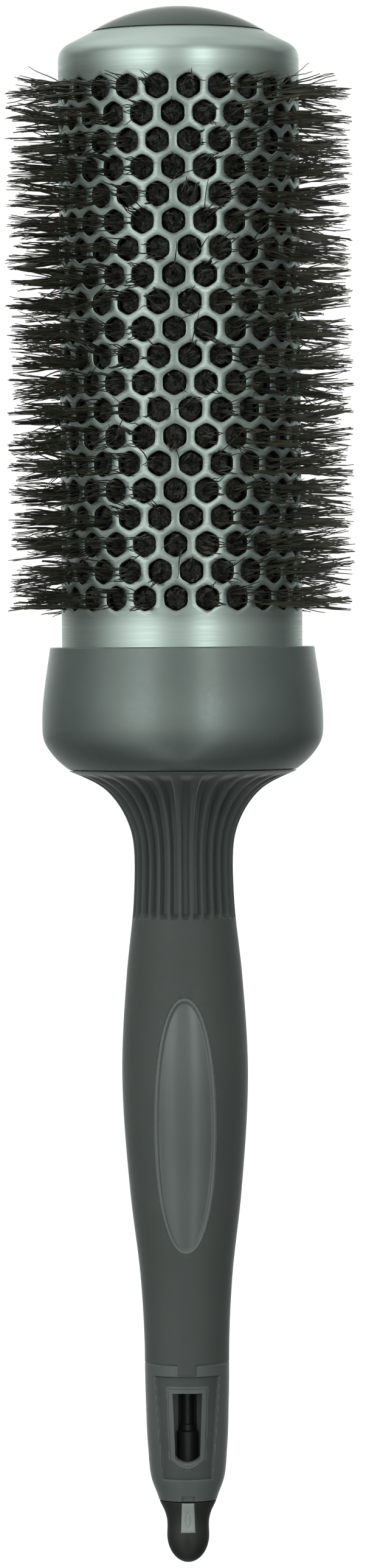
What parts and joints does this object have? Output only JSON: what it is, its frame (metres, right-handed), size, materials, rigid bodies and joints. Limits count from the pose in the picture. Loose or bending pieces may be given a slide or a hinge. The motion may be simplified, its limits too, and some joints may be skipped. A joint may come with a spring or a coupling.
{
  "type": "round barrel brush",
  "caption": "Round hair brush with a vented metal barrel, nylon bristles through hexagonal holes, a soft fluted grip and a pull-out sectioning pick in the handle end.",
  "frame": {"origin": "on the brush's axis at the widest point of the grip, where the hand holds it", "axes": "+Z along the axis from the handle to the dome; the front with the inlay and the window faces -Y; +X to the right seen from the front"},
  "size_m": [0.0626, 0.0626, 0.2782],
  "materials": {
    "barrel_metal": "satin, fine circumferential brushing",
    "dome_plastic": "glossy dark grey",
    "wire_steel": "drawn wire",
    "hub_plastic": "moulded black",
    "collar_plastic": "satin grey",
    "core_plastic": "moulded grey",
    "grip_rubber": "soft-touch, matt",
    "inlay_plastic": "satin grey",
    "ferrule_plastic": "fine moulded grain",
    "pick_plastic": "moulded black",
    "tab_plastic": "smooth light grey",
    "bristle_nylon": "dark brown-black nylon filaments"
  },
  "bodies": {
    "brush": {"barrel_hub": "hub_plastic", "barrel_tube": "barrel_metal", "bristle_row_01": "bristle_nylon", "bristle_row_02": "bristle_nylon", "bristle_row_03": "bristle_nylon", "bristle_row_04": "bristle_nylon", "bristle_row_05": "bristle_nylon", "bristle_row_06": "bristle_nylon", "bristle_row_07": "bristle_nylon", "bristle_row_08": "bristle_nylon", "bristle_row_09": "bristle_nylon", "bristle_row_10": "bristle_nylon", "bristle_row_11": "bristle_nylon", "bristle_row_12": "bristle_nylon", "bristle_row_13": "bristle_nylon", "bristle_row_14": "bristle_nylon", "bristle_row_15": "bristle_nylon", "bristle_row_16": "bristle_nylon", "bristle_row_17": "bristle_nylon", "bristle_row_18": "bristle_nylon", "bristle_row_19": "bristle_nylon", "bristle_row_20": "bristle_nylon", "collar": "collar_plastic", "core_wire_a": "wire_steel", "core_wire_b": "wire_steel", "end_cap": "dome_plastic", "end_ferrule": "ferrule_plastic", "grip_sleeve": "grip_rubber", "handle_core": "core_plastic", "oval_inlay": "inlay_plastic"},
    "pick": {"pick": "pick_plastic", "pick_tab": "tab_plastic"}
  },
  "joints": [
    {"name": "pick_slide", "type": "slide", "parent": "brush", "child": "pick", "axis": [0, 0, -1], "range_m": [0, 0.066]}
  ]
}
